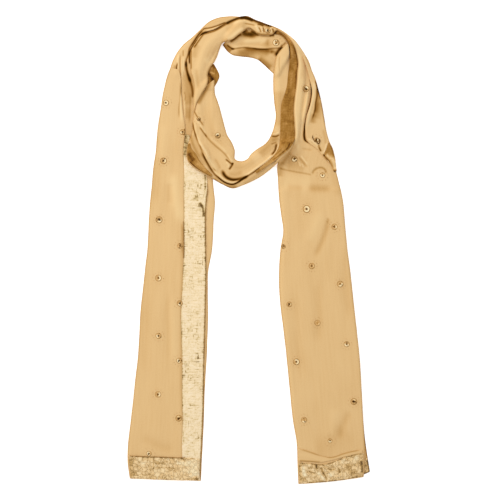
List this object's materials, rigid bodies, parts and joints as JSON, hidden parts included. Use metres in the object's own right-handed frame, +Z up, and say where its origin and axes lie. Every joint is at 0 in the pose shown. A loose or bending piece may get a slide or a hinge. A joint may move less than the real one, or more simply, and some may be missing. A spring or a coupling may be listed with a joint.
{
  "type": "dupatta stole",
  "caption": "Long sheer stole with a metallic border, folded lengthwise and laid flat in a once-round neck loop with two hanging tails.",
  "frame": {"origin": "middle of the laid stole's outline, on the surface that it lies on", "axes": "+Z up out of the surface, +Y from the ends of the tails towards the neck loop, +X towards the right tail"},
  "size_m": [0.3987, 0.7722, 0.0202],
  "materials": {
    "cloth": "sheer, softly lustrous plain weave",
    "border": "pale metallic tissue",
    "border_reverse": "dull back of the metallic tissue"
  },
  "bodies": {
    "root": {"left_tail_under": "cloth", "left_tail": "cloth", "left_border": "border", "left_end_border": "border", "left_shoulder": "cloth", "loop_inner": "cloth", "loop_right": "cloth", "loop_right_border": "border_reverse", "loop_flap": "border_reverse", "loop_left": "cloth", "loop_left_border": "border_reverse", "loop_top": "cloth", "right_tail_under": "cloth", "right_tail": "cloth", "right_flap": "cloth", "right_edge_border": "border", "right_end_border": "border", "right_hem": "cloth", "loop_bottom": "cloth", "loop_bottom_border": "border_reverse"}
  },
  "joints": []
}
